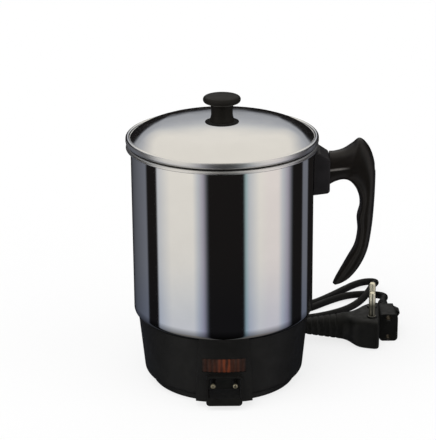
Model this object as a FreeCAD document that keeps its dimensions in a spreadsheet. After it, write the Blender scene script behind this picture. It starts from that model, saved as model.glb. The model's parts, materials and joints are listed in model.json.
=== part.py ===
"""Electric heating cup: polished steel cup, domed lid, side handle, heated base and detached mains lead.

Millimetres, +Z up, the cup's axis on Z, the table at z = 0, the handle towards +X, the inlet towards -Y.
"""
import FreeCAD, Part
import math
import os
import Sketcher

Vector = FreeCAD.Vector
Rotation = FreeCAD.Rotation
Placement = FreeCAD.Placement

doc = FreeCAD.newDocument("heating_cup")
sheet = doc.addObject("Spreadsheet::Sheet", "dims")
nodes = {}


# Sizes

DRIVING_DIMENSIONS = {
    "cup_radius": 62.0,
    "cup_wall": 0.6,
    "cup_floor": 49.0,
    "cup_corner": 6.0,
    "rim_bead": 1.9,
    "rim_height": 168.9,
    "lid_bead": 2.0,
    "lid_bead_radius": 63.3,
    "lid_bead_height": 173.2,
    "lid_sheet": 0.6,
    "lid_crown": 183.5,
    "lid_seat_radius": 11.7,
    "lid_crown_edge": 41.0,
    "lid_crown_drop": 1.2,
    "lid_crown_arc": 600.0,
    "lid_shoulder_arc": 39.3,
    "skirt_radius": 60.2,
    "skirt_bottom": 163.5,
    "skirt_top": 174.9,
    "shield_radius": 11.45,
    "shield_thickness": 0.9,
    "knob_radius": 12.7,
    "knob_neck": 7.3,
    "knob_foot": 8.4,
    "knob_height": 17.8,
    "knob_bore": 2.05,
    "screw_shank": 2.0,
    "base_top_radius": 59.2,
    "base_low_radius": 55.3,
    "base_low_height": 9.0,
    "base_wall": 2.6,
    "base_corner": 4.5,
    "base_lip": 5.0,
    "boss_radius": 61.5,
    "boss_top_half": 16.5,
    "boss_low_half": 19.5,
    "boss_bottom": 4.4,
    "shroud_front": 65.0,
    "shroud_half": 12.2,
    "shroud_bottom": 3.8,
    "shroud_top": 25.4,
    "recess_half": 11.0,
    "recess_bottom": 9.0,
    "recess_top": 24.0,
    "recess_depth": 16.0,
    "inlet_height": 16.5,
    "inlet_spacing": 15.0,
    "inlet_pin": 1.6,
    "lens_half": 14.7,
    "lens_bottom": 26.6,
    "lens_top": 36.4,
    "lens_gap": 0.15,
    "foot_radius": 50.0,
    "cover_plate": 2.6,
    "pillar_circle": 43.0,
    "pillar_radius": 4.0,
    "stud_circle": 48.5,
    "stud_radius": 2.0,
    "ledge_bottom": 43.5,
    "ledge_top": 46.0,
    "ledge_radius": 45.0,
    "plate_radius": 40.0,
    "element_circle": 28.0,
    "element_radius": 3.3,
    "mount_face": 72.6,
    "mount_half": 12.0,
    "handle_screw_height": 150.5,
    "plug_x": 109.2,
    "plug_y": 55.5,
    "plug_height": 22.0,
    "plug_half": 22.0,
    "plug_pin": 2.4,
    "plug_pin_length": 19.0,
    "plug_pin_spacing": 19.0,
    "plug_neck": 9.6,
    "plug_neck_start": 87.0,
    "plug_neck_end": 48.0,
    "connector_x": 121.3,
    "connector_y": 52.0,
    "connector_half": 6.8,
    "connector_height": 21.0,
    "connector_length": 28.0,
    "connector_end": 48.0,
    "cord_diameter": 5.5,
}


class Size:
    """A number together with the sheet expression that gives it."""

    def __init__(self, value, text):
        self.value = float(value)
        self.text = text

    def join(self, other, sign, value):
        return Size(value, f"({self.text} {sign} {as_size(other).text})")

    def __add__(self, other):
        return self.join(other, "+", self.value + as_size(other).value)

    def __sub__(self, other):
        return self.join(other, "-", self.value - as_size(other).value)

    def __mul__(self, other):
        return self.join(other, "*", self.value * as_size(other).value)

    def __truediv__(self, other):
        return self.join(other, "/", self.value / as_size(other).value)

    def __neg__(self):
        return Size(-self.value, f"(0 - {self.text})")

    def __radd__(self, other):
        return as_size(other) + self

    def __rsub__(self, other):
        return as_size(other) - self

    def __rmul__(self, other):
        return as_size(other) * self


def as_size(number):
    if isinstance(number, Size):
        return number
    return Size(number, f"({number:.6g})")


def root(size):
    return Size(math.sqrt(size.value), f"sqrt({size.text})")


class Dims:
    """The sheet's aliases as Size values."""


def fill_sheet():
    for row, (alias, value) in enumerate(DRIVING_DIMENSIONS.items(), start=1):
        sheet.set(f"A{row}", alias)
        sheet.set(f"B{row}", str(value))
        sheet.setAlias(f"B{row}", alias)
    doc.recompute()
    for alias in DRIVING_DIMENSIONS:
        setattr(Dims, alias, Size(sheet.get(alias), f"dims.{alias}"))


fill_sheet()
D = Dims


# Building blocks

def bind(item, prop, size):
    if isinstance(size, Size):
        item.setExpression(prop, size.text)
    else:
        setattr(item, prop, size)


def place(item, at, turn=None):
    """Put an item at three sizes, turned by a fixed rotation."""
    numbers = [as_size(part).value for part in at]
    item.Placement = Placement(Vector(*numbers), turn or Rotation())
    for letter, part in zip("xyz", at):
        if isinstance(part, Size):
            item.setExpression(f"Placement.Base.{letter}", part.text)
    return item


def node(label, item):
    item.Label = label
    nodes[label] = item
    return item


def arc_between(start, end, radius):
    """Minor arc; a positive radius turns left on the way, a negative one right."""
    chord = end - start
    half = chord.Length / 2
    side = Vector(-chord.y, chord.x, 0).normalize()
    rise = math.sqrt(max(radius * radius - half * half, 0.0))
    centre = start + chord * 0.5 + side * math.copysign(rise, radius)
    first, last = (start, end) if radius > 0 else (end, start)
    circle = Part.Circle(centre, Vector(0, 0, 1), abs(radius))
    angles = [math.atan2(p.y - centre.y, p.x - centre.x) for p in (first, last)]
    return Part.ArcOfCircle(circle, *angles)


def draw(sketch, outline):
    """Closed outline of corners (x, y), or (x, y, radius) where an arc leads to the corner."""
    corners = [Vector(as_size(c[0]).value, as_size(c[1]).value, 0) for c in outline]
    first = sketch.GeometryCount
    ends = []
    for index, corner in enumerate(outline):
        start, end = corners[index - 1], corners[index]
        if len(corner) == 3:
            radius = as_size(corner[2]).value
            sketch.addGeometry(arc_between(start, end, radius), False)
            ends.append((1, 2) if radius > 0 else (2, 1))
        else:
            sketch.addGeometry(Part.LineSegment(start, end), False)
            ends.append((1, 2))
    for index, corner in enumerate(outline):
        this, after = first + index, first + (index + 1) % len(outline)
        mine, theirs = ends[index][1], ends[(index + 1) % len(outline)][0]
        sketch.addConstraint(Sketcher.Constraint("Coincident", this, mine, after, theirs))
        for kind, part in (("DistanceX", corner[0]), ("DistanceY", corner[1])):
            constrain(sketch, Sketcher.Constraint(kind, -1, 1, this, mine, as_size(part).value), part)
        if len(corner) == 3:
            size = as_size(corner[2])
            positive = size if size.value > 0 else -size
            constrain(sketch, Sketcher.Constraint("Radius", this, positive.value), positive)


def rounded(corners):
    """Outline of a polygon of corners (x, y, radius) with each corner rounded to its radius."""
    outline = []
    for before, corner, after in zip(corners[-1:] + corners[:-1], corners, corners[1:] + corners[:1]):
        at = Vector(corner[0], corner[1], 0)
        back = (Vector(before[0], before[1], 0) - at).normalize()
        ahead = (Vector(after[0], after[1], 0) - at).normalize()
        reach = corner[2] * math.tan((math.pi - back.getAngle(ahead)) / 2)
        start = at + back * reach
        end = at + ahead * reach
        turn = ahead.cross(back).z
        outline += [(start.x, start.y), (end.x, end.y, math.copysign(corner[2], turn))]
    return outline


def constrain(sketch, constraint, size):
    index = sketch.addConstraint(constraint)
    if isinstance(size, Size):
        name = f"size{index}"
        sketch.renameConstraint(index, name)
        sketch.setExpression(f"Constraints.{name}", size.text)


def sketched_body(name, role, outline):
    body = doc.addObject("PartDesign::Body", name)
    sketch = body.newObject("Sketcher::SketchObject", f"{name}_outline")
    plane = next(item for item in body.Origin.OriginFeatures if item.Role == role)
    sketch.AttachmentSupport = (plane, [""])
    sketch.MapMode = "FlatFace"
    draw(sketch, outline)
    return body, sketch


def turned(name, outline, at=(0, 0, 0), turn=None):
    """Solid of revolution about its own Z axis from an (r, z) outline."""
    body, sketch = sketched_body(name, "XZ_Plane", outline)
    feature = body.newObject("PartDesign::Revolution", f"{name}_turn")
    feature.Profile = sketch
    feature.ReferenceAxis = (sketch, ["V_Axis"])
    feature.Angle = 360.0
    return place(body, at, turn)


def padded(name, role, outline, length, at=(0, 0, 0), centred=False, round_edge=None):
    """Extruded outline, with its two rims rounded where round_edge is given."""
    body, sketch = sketched_body(name, role, outline)
    feature = body.newObject("PartDesign::Pad", f"{name}_pad")
    feature.Profile = sketch
    feature.SideType = "Symmetric" if centred else "One side"
    bind(feature, "Length", length)
    if round_edge:
        doc.recompute()
        normal = sketch.Placement.Rotation.multVec(Vector(0, 0, 1))
        rims = []
        for index, edge in enumerate(feature.Shape.Edges, start=1):
            heights = [vertex.Point.dot(normal) for vertex in edge.Vertexes]
            if max(heights) - min(heights) < 1e-6:
                rims.append(f"Edge{index}")
        rounding = body.newObject("PartDesign::Fillet", f"{name}_rounding")
        rounding.Base = (feature, rims)
        bind(rounding, "Radius", round_edge)
        body.Tip = rounding
    return place(body, at)


def rod(name, radius, height, at, turn=None):
    item = doc.addObject("Part::Cylinder", name)
    bind(item, "Radius", radius)
    bind(item, "Height", height)
    return place(item, at, turn)


def block(name, size, at):
    item = doc.addObject("Part::Box", name)
    for prop, part in zip(("Length", "Width", "Height"), size):
        bind(item, prop, part)
    return place(item, at)


def fused(name, items):
    item = doc.addObject("Part::MultiFuse", name)
    item.Shapes = items
    item.Refine = True
    return item


def cut(name, base, tools):
    item = doc.addObject("Part::Cut", name)
    item.Base = base
    item.Tool = tools[0] if len(tools) == 1 else fused(f"{name}_tools", tools)
    item.Refine = True
    return item


def common(name, items):
    item = doc.addObject("Part::MultiCommon", name)
    item.Shapes = items
    return item


def group(name, items):
    item = doc.addObject("Part::Compound", name)
    item.Links = items
    return item


def around(circle, count, first_angle):
    """Centres spaced evenly on a circle about the cup's axis."""
    for index in range(count):
        angle = math.radians(first_angle + 360.0 * index / count)
        yield circle * math.cos(angle), circle * math.sin(angle)


ALONG_X = Rotation(Vector(0, 1, 0), 90)
ALONG_MINUS_X = Rotation(Vector(0, 1, 0), -90)
ALONG_Y = Rotation(Vector(1, 0, 0), -90)
ALONG_MINUS_Y = Rotation(Vector(1, 0, 0), 90)


def pan_screw(name, shank, length, at, turn=None):
    """Screw with its head's seat at the origin, head below and shank along its own +Z."""
    head = shank * 1.8
    height = shank * 1.1
    outline = [
        (0, -height), (shank, -height), (head, -height * 0.4, head), (head, 0),
        (shank, 0), (shank, length - 0.5), (shank - 0.5, length), (0, length),
    ]
    body = turned(f"{name}_blank", outline)
    slot = block(f"{name}_slot", (head * 2.4, 0.9, height), (-head * 1.2, -0.45, -height * 1.5))
    return place(cut(name, body, [slot]), at, turn)


def route_edges(points):
    """Straight runs joined by tangent arcs, each arc as large as its two runs allow."""
    corners = [Vector(*point) for point in points]
    edges = []
    radii = []
    start = corners[0]
    for before, corner, after in zip(corners, corners[1:], corners[2:]):
        back = before - corner
        ahead = after - corner
        half_turn = (math.pi - back.getAngle(ahead)) / 2
        reach = 0.45 * min(back.Length, ahead.Length)
        radius = reach / math.tan(half_turn)
        radii.append(radius)
        back.normalize()
        ahead.normalize()
        enter = corner + back * reach
        leave = corner + ahead * reach
        middle = corner + (back + ahead).normalize() * (radius / math.cos(half_turn) - radius)
        edges.append(Part.LineSegment(start, enter).toShape())
        edges.append(Part.Arc(enter, middle, leave).toShape())
        start = leave
    edges.append(Part.LineSegment(start, corners[-1]).toShape())
    print("bend radii", " ".join(f"{radius:.0f}" for radius in radii))
    return edges


def tube(label, edges, radius):
    """Round tube along a chain of edges that starts with a straight run."""
    wire = Part.Wire(edges)
    start, second = [vertex.Point for vertex in edges[0].Vertexes]
    ring = Part.Wire([Part.Circle(start, second - start, radius).toShape()])
    solid = wire.makePipeShell([ring], True, False)
    item = doc.addObject("Part::Feature", label)
    item.Shape = solid
    expected = math.pi * radius * radius * wire.Length
    print(f"{label}: length {wire.Length:.1f}, volume ratio {solid.Volume / expected:.4f}")
    return item


# Cup

def make_cup():
    inner = D.cup_radius - D.cup_wall
    bead_centre = inner + D.rim_bead
    bead_reach = bead_centre - D.cup_radius
    bead_start = D.rim_height - root(D.rim_bead * D.rim_bead - bead_reach * bead_reach)
    flat = D.cup_radius - D.cup_corner
    floor_top = D.cup_floor + D.cup_wall
    outline = [
        (0, D.cup_floor), (flat, D.cup_floor),
        (D.cup_radius, D.cup_floor + D.cup_corner, D.cup_corner),
        (D.cup_radius, bead_start),
        (bead_centre + D.rim_bead, D.rim_height, D.rim_bead),
        (bead_centre, D.rim_height + D.rim_bead, D.rim_bead),
        (inner, D.rim_height, D.rim_bead),
        (inner, D.cup_floor + D.cup_corner),
        (flat, floor_top, -(D.cup_corner - D.cup_wall)),
        (0, floor_top),
    ]
    node("cup_body", turned("cup_body", outline))


# Lid and knob

def make_lid():
    diagonal = D.lid_bead * math.sqrt(0.5)
    shoulder = D.lid_crown - D.lid_crown_drop
    under = D.lid_crown - D.lid_sheet
    hole = D.knob_bore + 0.25
    outline = [
        (hole, D.lid_crown), (hole, under), (D.lid_seat_radius, under),
        (D.lid_crown_edge, shoulder - D.lid_sheet, -D.lid_crown_arc),
        (D.lid_bead_radius - D.lid_bead, D.lid_bead_height, -(D.lid_shoulder_arc - D.lid_sheet)),
        (D.lid_bead_radius, D.lid_bead_height - D.lid_bead, D.lid_bead),
        (D.lid_bead_radius + D.lid_bead, D.lid_bead_height, D.lid_bead),
        (D.lid_bead_radius, D.lid_bead_height + D.lid_bead, D.lid_bead),
        (D.lid_bead_radius - diagonal, D.lid_bead_height + diagonal, D.lid_bead),
        (D.lid_crown_edge, shoulder, D.lid_shoulder_arc),
        (D.lid_seat_radius, D.lid_crown, D.lid_crown_arc),
    ]
    node("lid", turned("lid", outline))
    inner = D.skirt_radius - D.lid_sheet
    skirt = [
        (inner, D.skirt_bottom), (D.skirt_radius, D.skirt_bottom),
        (D.skirt_radius, D.skirt_top - 0.5), (inner, D.skirt_top),
    ]
    node("lid_skirt", turned("lid_skirt", skirt))


def make_knob():
    foot = D.lid_crown + D.shield_thickness
    hole = D.knob_bore + 0.25
    shield = [
        (hole, D.lid_crown), (D.shield_radius - 0.25, D.lid_crown),
        (D.shield_radius, D.lid_crown + 0.25, 0.25), (D.shield_radius, D.lid_crown + 0.5),
        (D.knob_foot + 0.3, foot), (hole, foot),
    ]
    node("knob_shield", turned("knob_shield", shield))
    bore_top = foot + 9.5
    dome_rise = 0.6
    dome_half = D.knob_radius - 1.9
    dome = (dome_half * dome_half + dome_rise * dome_rise) / (2 * dome_rise)
    top = foot + D.knob_height
    knob = [
        (D.knob_bore, foot), (D.knob_foot, foot), (D.knob_foot, foot + 0.7),
        (D.knob_neck, foot + 4.6, -18), (D.knob_neck + 0.7, foot + 9.4, -34),
        (D.knob_radius - 1.7, foot + 12.6, -5), (D.knob_radius, foot + 14.6, 2.2),
        (dome_half, top - dome_rise, 2.2), (0, top, dome),
        (0, bore_top), (D.knob_bore, bore_top),
    ]
    node("lid_knob", turned("lid_knob", knob))
    under = D.lid_crown - D.lid_sheet
    washer = 0.8
    ring = [
        (hole, under - washer), (hole + 2.7, under - washer),
        (hole + 2.7, under), (hole, under),
    ]
    node("knob_washer", turned("knob_washer", ring))
    length = 10.6
    node("knob_screw", pan_screw("knob_screw", D.screw_shank, length, (0, 0, under - washer)))


# Handle

GRIP_INNER_EDGE = [
    (72.6, 139.3), (76.2, 141.3), (80.2, 142.6), (83.6, 142.6), (86.5, 141.5), (89.0, 139.2),
    (91.4, 135.5), (93.3, 129.8), (93.6, 123.0), (91.9, 115.5), (92.5, 105.5), (90.6, 94.6),
    (85.9, 85.6), (80.6, 75.8), (77.6, 70.2), (76.1, 67.0),
]
GRIP_OUTER_EDGE = [
    (72.6, 162.2), (76.6, 162.4), (82.4, 164.2), (88.4, 168.2), (92.9, 171.5), (97.4, 168.5),
    (101.3, 161.8), (103.8, 151.5), (104.0, 138.5), (103.4, 122.5), (102.2, 108.0), (99.7, 92.6),
    (94.8, 80.8), (88.3, 72.0), (82.6, 67.7), (78.3, 65.7),
]
GRIP_HALF_THICKNESS = [9.4, 9.3, 9.1, 9.0, 9.0, 9.0, 9.0, 9.0, 9.0, 9.0, 9.0, 9.0, 8.6, 7.2, 5.2, 2.4]


def grip_section(inner, outer, half_thickness):
    """Ellipse between an inner and an outer edge point of the grip."""
    middle = Vector((inner[0] + outer[0]) / 2, 0, (inner[1] + outer[1]) / 2)
    across = Vector(outer[0], 0, outer[1]) - middle
    ahead = Vector(across.z, 0, -across.x).normalize()
    stretch = FreeCAD.Matrix(
        across.x, 0, ahead.x, middle.x,
        0, half_thickness, 0, 0,
        across.z, 0, ahead.z, middle.z,
        0, 0, 0, 1,
    )
    return Part.Wire([Part.Circle().toShape()]).transformGeometry(stretch)


def make_handle():
    edges = zip(GRIP_INNER_EDGE, GRIP_OUTER_EDGE, GRIP_HALF_THICKNESS)
    grip = doc.addObject("Part::Feature", "grip_form")
    grip.Shape = Part.makeLoft([grip_section(*edge) for edge in edges], True, False, False, 3)
    seat = 88.0
    hole = rod("grip_hole", D.screw_shank + 0.2, 40, (D.mount_face - 1, 0, D.handle_screw_height), ALONG_X)
    counterbore = rod("grip_counterbore", 4.2, 24, (seat, 0, D.handle_screw_height), ALONG_X)
    node("handle", cut("handle", grip, [hole, counterbore]))

    washer = 0.8
    ring = [(2.2, 0), (4.0, 0), (4.0, washer), (2.2, washer)]
    node("handle_washer", turned("handle_washer", ring, (seat, 0, D.handle_screw_height), ALONG_X))
    screw_at = (seat + washer, 0, D.handle_screw_height)
    node("handle_screw", pan_screw("handle_screw", D.screw_shank, 23.0, screw_at, ALONG_MINUS_X))

    saddle_gap = 0.05
    saddle_sheet = 1.2
    boss_radius = 3.2
    boss_end = 70.5
    near = D.cup_radius + saddle_gap
    saddle_ring = [
        (near, 138.0), (near + saddle_sheet, 138.0), (near + saddle_sheet, 160.0), (near, 160.0),
    ]
    ring = turned("saddle_ring", saddle_ring)
    keep = block("saddle_keep", (20, 18, 40), (55, -9, 130))
    saddle = common("saddle", [ring, keep])
    boss = rod("saddle_boss", boss_radius, boss_end - 62.8, (62.8, 0, D.handle_screw_height), ALONG_X)
    thread = rod("saddle_thread", D.screw_shank + 0.05, 12, (63.4, 0, D.handle_screw_height), ALONG_X)
    node("handle_bracket", cut("handle_bracket", fused("saddle_and_boss", [saddle, boss]), [thread]))

    mount_back = 56.0
    mount_low = 133.9
    mount_top = 163.9
    side = [
        (mount_back, mount_low), (D.mount_face - 2.2, mount_low + 1.6), (D.mount_face, mount_low + 3.9, 2.4),
        (D.mount_face, mount_top - 5.2), (D.mount_face - 1.6, mount_top - 3.3, 2.8),
        (D.mount_face - 6.6, mount_top), (mount_back, mount_top),
    ]
    side_form = padded("mount_side", "XZ_Plane", side, D.mount_half * 2, centred=True)
    face_half = D.mount_half - 0.8
    plan = [
        (mount_back, -D.mount_half), (D.mount_face, -face_half),
        (D.mount_face, face_half), (mount_back, D.mount_half),
    ]
    plan_form = padded("mount_plan", "XY_Plane", plan, 80, at=(0, 0, 110))
    form = common("mount_form", [side_form, plan_form])
    cup_space = rod("mount_cup_space", D.cup_radius + 0.1, 80, (0, 0, 110))
    saddle_space = [
        (58.0, 137.8), (near + saddle_sheet + 0.1, 137.8), (near + saddle_sheet + 0.1, 160.2), (58.0, 160.2),
    ]
    ring_space = turned("mount_ring_space", saddle_space)
    ring_keep = block("mount_ring_keep", (20, 18.4, 40), (55, -9.2, 130))
    pocket = common("mount_pocket", [ring_space, ring_keep])
    screw_line = (60, 0, D.handle_screw_height)
    boss_space = rod("mount_boss_space", boss_radius + 0.1, boss_end - 59.9, screw_line, ALONG_X)
    hole = rod("mount_hole", D.screw_shank + 0.2, 20, screw_line, ALONG_X)
    node("handle_mount", cut("handle_mount", form, [cup_space, pocket, boss_space, hole]))


# Base

FIRST_FIXING_ANGLE = 90.0


def boss_sector(name, outline, trapezoid):
    """Part of a ring in front of the cup, between slanted sides."""
    ring = turned(f"{name}_ring", outline)
    prism = padded(f"{name}_prism", "XZ_Plane", trapezoid, 40, at=(0, -40, 0))
    return common(name, [ring, prism])


def make_base_housing():
    top = D.cup_floor
    inner_top = D.base_top_radius - D.base_wall
    inner_low = D.base_low_radius - D.base_wall
    lip_inner = 46.0
    boss_inner = 54.3
    shell = turned("base_shell", [
        (lip_inner, D.base_lip), (D.base_low_radius - D.base_corner, D.base_lip),
        (D.base_low_radius, D.base_low_height, D.base_corner), (D.base_top_radius, top - 0.8),
        (D.base_top_radius - 0.8, top, 0.8), (54.2, top), (54.2, D.ledge_top),
        (D.ledge_radius, D.ledge_top), (D.ledge_radius, D.ledge_bottom), (inner_top - 0.6, D.ledge_bottom),
        (inner_low, D.base_low_height + 1.5), (inner_low - 2.0, D.base_lip + 2.5, -2.5),
        (lip_inner, D.base_lip + 2.5),
    ])
    boss = boss_sector("front_boss", [
        (boss_inner, D.boss_bottom), (D.boss_radius - 1.2, D.boss_bottom),
        (D.boss_radius, D.boss_bottom + 1.2, 1.2), (D.boss_radius, top + 0.7),
        (D.boss_radius - 0.6, top + 1.4, 0.7), (57.2, top), (boss_inner, top),
    ], [
        (-D.boss_low_half, 0), (D.boss_low_half, 0),
        (D.boss_top_half, 51.5), (-D.boss_top_half, 51.5),
    ])
    corner = 2.5
    half = D.shroud_half
    shroud = padded("inlet_shroud", "XZ_Plane", [
        (half - corner, D.shroud_bottom), (half, D.shroud_bottom + corner, corner),
        (half, D.shroud_top - corner), (half - corner, D.shroud_top, corner),
        (-(half - corner), D.shroud_top), (-half, D.shroud_top - corner, corner),
        (-half, D.shroud_bottom + corner), (-(half - corner), D.shroud_bottom, corner),
    ], D.shroud_front - 52, at=(0, -52, 0))
    recess_floor = D.shroud_front - D.recess_depth
    frame = block("inlet_frame", (34, 5, 18.5), (-17, -(recess_floor + 5), 7.5))
    solids = [shell, boss, shroud, frame]
    pillars = []
    bores = []
    pillar_top = 14.0
    for index, (x, y) in enumerate(around(D.pillar_circle, 3, FIRST_FIXING_ANGLE)):
        pillar_height = pillar_top - D.cover_plate
        pillars.append(rod(f"pillar_{index}", D.pillar_radius, pillar_height, (x, y, D.cover_plate)))
        web = block(f"pillar_web_{index}", (9, 4, 8), (0, -2, 0))
        angle = FIRST_FIXING_ANGLE + 120.0 * index
        turn = Rotation(Vector(0, 0, 1), angle)
        start = turn.multVec(Vector(D.pillar_circle.value, -2, D.base_lip.value + 0.5))
        web.Placement = Placement(start, turn)
        pillars.append(web)
        bores.append(rod(f"pillar_bore_{index}", 1.55, 12, (x, y, 0)))
    for index, (x, y) in enumerate(around(D.stud_circle, 3, FIRST_FIXING_ANGLE)):
        bores.append(rod(f"ledge_hole_{index}", D.stud_radius + 0.25, 8, (x, y, 40)))
    recess = padded("inlet_recess", "XZ_Plane", [
        (D.recess_half - 1.5, D.recess_bottom), (D.recess_half, D.recess_bottom + 1.5, 1.5),
        (D.recess_half, D.recess_top - 1.5), (D.recess_half - 1.5, D.recess_top, 1.5),
        (-(D.recess_half - 1.5), D.recess_top), (-D.recess_half, D.recess_top - 1.5, 1.5),
        (-D.recess_half, D.recess_bottom + 1.5), (-(D.recess_half - 1.5), D.recess_bottom, 1.5),
    ], 30, at=(0, -40, 0))
    window = block("lens_window", (D.lens_half * 2, 30, D.lens_top - D.lens_bottom),
                   (-D.lens_half, -70, D.lens_bottom))
    screw_holes = [
        rod(f"inlet_thread_{side}", 1.25, 4.0, (side * 14.0, -(recess_floor + 4.0), D.inlet_height), ALONG_Y)
        for side in (-1, 1)
    ]
    whole = fused("base_form", solids + pillars)
    node("base_housing", cut("base_housing", whole, [recess, window] + bores + screw_holes))


def make_bottom_cover():
    rim = 2.5
    plate = turned("cover_plate_form", [
        (0, 0), (D.foot_radius - 1.5, 0), (D.foot_radius, 1.5, 1.5), (D.foot_radius, D.base_lip),
        (D.foot_radius - rim, D.base_lip), (D.foot_radius - rim, D.cover_plate), (0, D.cover_plate),
    ])
    head_depth = 1.7
    tools = []
    screws = []
    for index, (x, y) in enumerate(around(D.pillar_circle, 3, FIRST_FIXING_ANGLE)):
        tools.append(rod(f"cover_hole_{index}", 1.7, 6, (x, y, -1)))
        tools.append(rod(f"cover_sink_{index}", 3.0, head_depth + 1, (x, y, -1)))
        screws.append(pan_screw(f"cover_screw_{index}", as_size(1.5), 9.0, (x, y, head_depth)))
    node("base_bottom_cover", cut("base_bottom_cover", plate, tools))
    node("cover_screws", group("cover_screws", screws))


def make_base_fixings():
    studs = []
    washers = []
    nuts = []
    washer = 0.8
    nut_height = 3.2
    for index, (x, y) in enumerate(around(D.stud_circle, 3, FIRST_FIXING_ANGLE)):
        studs.append(rod(f"stud_{index}", D.stud_radius, D.cup_floor - 37.5, (x, y, 37.5)))
        ring = [
            (D.stud_radius + 0.2, 0), (D.stud_radius + 1.5, 0),
            (D.stud_radius + 1.5, washer), (D.stud_radius + 0.2, washer),
        ]
        washers.append(turned(f"base_washer_{index}", ring, (x, y, D.ledge_bottom - washer)))
        hexagon = doc.addObject("Part::Prism", f"nut_form_{index}")
        hexagon.Polygon = 6
        hexagon.Circumradius = 3.5
        hexagon.Height = nut_height
        place(hexagon, (x, y, D.ledge_bottom - washer - nut_height))
        bore = rod(f"nut_bore_{index}", D.stud_radius + 0.03, 8, (x, y, 37))
        nuts.append(cut(f"nut_{index}", hexagon, [bore]))
    node("base_studs", group("base_studs", studs))
    node("base_washers", group("base_washers", washers))
    node("base_nuts", group("base_nuts", nuts))
    gasket = [
        (51.2, D.ledge_top), (54.0, D.ledge_top), (54.0, D.cup_floor), (51.2, D.cup_floor),
    ]
    node("seal_gasket", turned("seal_gasket", gasket))


# Heating

ELEMENT_GAP = 60.0
ELEMENT_FIRST_END = 120.0
TERMINAL_LOW = 30.0
THERMOSTAT_AT = (-13.0, 5.0)
TAB_OFFSET = 5.0
TAB_LOW = 31.0
FUSE_AT = (14.0, 33.0)


def make_heater():
    plate = [
        (0, D.ledge_top), (D.plate_radius, D.ledge_top), (D.plate_radius, D.cup_floor), (0, D.cup_floor),
    ]
    node("heat_plate", turned("heat_plate", plate))
    ring = doc.addObject("Part::Torus", "heating_element")
    bind(ring, "Radius1", D.element_circle)
    bind(ring, "Radius2", D.element_radius)
    ring.Angle3 = 360.0 - ELEMENT_GAP
    height = D.ledge_top - D.element_radius - 0.03
    node("heating_element", place(ring, (0, 0, height), Rotation(Vector(0, 0, 1), ELEMENT_FIRST_END)))
    pins = []
    for index, angle in enumerate((ELEMENT_FIRST_END, ELEMENT_FIRST_END - ELEMENT_GAP)):
        x = D.element_circle * math.cos(math.radians(angle))
        y = D.element_circle * math.sin(math.radians(angle))
        pins.append(rod(f"element_pin_{index}", 1.6, height - TERMINAL_LOW, (x, y, TERMINAL_LOW)))
    node("element_terminals", group("element_terminals", pins))

    x, y = THERMOSTAT_AT
    can = [
        (0, 38.0), (6.5, 38.0), (7.5, 39.0, 1.0), (7.5, 43.5), (8.6, 43.5),
        (8.6, D.ledge_top), (0, D.ledge_top),
    ]
    node("thermostat", turned("thermostat", can, (x, y, 0)))
    tabs = [
        block(
            f"thermostat_tab_{side}",
            (0.8, 4.8, 38.0 - TAB_LOW),
            (x + side * TAB_OFFSET - 0.4, y - 2.4, TAB_LOW),
        )
        for side in (-1, 1)
    ]
    node("thermostat_tabs", group("thermostat_tabs", tabs))

    fuse_x, fuse_z = FUSE_AT
    terminal_y = D.element_circle.value * math.sin(math.radians(ELEMENT_FIRST_END)) - 1.6
    fuse = [
        (0, 0), (0.6, 0), (0.6, 5.0), (1.2, 5.6), (2.0, 6.2), (2.0, 15.0), (1.2, 15.8), (0.6, 16.4),
        (0.6, terminal_y + 4.0), (0, terminal_y + 4.0),
    ]
    node("thermal_fuse", turned("thermal_fuse", fuse, (fuse_x, -4.0, fuse_z), ALONG_Y))


# Inlet and pilot lamp

LAMP_AT = (0.0, -54.5, 31.5)


def make_inlet():
    floor = -(D.shroud_front - D.recess_depth)
    thickness = 6.5
    body = block("inlet_block_form", (34, thickness, 17.5), (-17, floor, 8.0))
    bores = []
    pins = []
    screws = []
    for index, side in enumerate((-1, 1)):
        x = D.inlet_spacing * (side / 2)
        root_radius = D.inlet_pin + 0.35
        bore_at = (x, floor - 1, D.inlet_height)
        bores.append(rod(f"inlet_bore_{index}", root_radius + 0.05, 10, bore_at, ALONG_Y))
        reach = 13.0
        pin = [
            (0, -reach), (D.inlet_pin - 0.7, -reach), (D.inlet_pin, 0.8 - reach, 0.9),
            (D.inlet_pin, 0), (root_radius, 0), (root_radius, thickness), (1.2, thickness),
            (1.2, thickness + 5.5), (0, thickness + 5.5),
        ]
        pins.append(turned(f"inlet_pin_{index}", pin, (x, floor, D.inlet_height), ALONG_Y))
        screw_x = side * 14.0
        bores.append(rod(f"inlet_pass_{index}", 1.45, 10, (screw_x, floor - 1, D.inlet_height), ALONG_Y))
        screw_at = (screw_x, floor + thickness, D.inlet_height)
        screw = pan_screw(f"inlet_screw_{index}", as_size(1.2), thickness + 3.5, screw_at, ALONG_MINUS_Y)
        screws.append(screw)
    node("inlet_block", cut("inlet_block", body, bores))
    node("inlet_pins", group("inlet_pins", pins))
    node("inlet_screws", group("inlet_screws", screws))


def make_pilot_lamp():
    gap = D.lens_gap
    half = D.lens_half - gap
    low = D.lens_bottom + gap
    high = D.lens_top - gap
    ring = [(58.6, low), (D.boss_radius + 0.2, low), (D.boss_radius + 0.2, high), (58.6, high)]
    node("pilot_lens", boss_sector("pilot_lens", ring, [(-half, 20), (half, 20), (half, 45), (-half, 45)]))
    x, y, z = LAMP_AT
    lamp = [
        (0, -8), (2.0, -8), (2.6, -7.2, 0.9), (2.6, 6.0), (1.2, 8.0, 2.2), (0, 8.0),
    ]
    node("neon_lamp", turned("neon_lamp", lamp, LAMP_AT, ALONG_X))
    holder_back = 2.0
    node("lamp_holder", block("lamp_holder", (11, holder_back, 9.6), (-5.5, y + 2.65, z - 4.8)))


# Wiring inside the base

WIRE_RADIUS = 1.2
LEAD_RADIUS = 0.5
TAB_Y = -40.0


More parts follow.
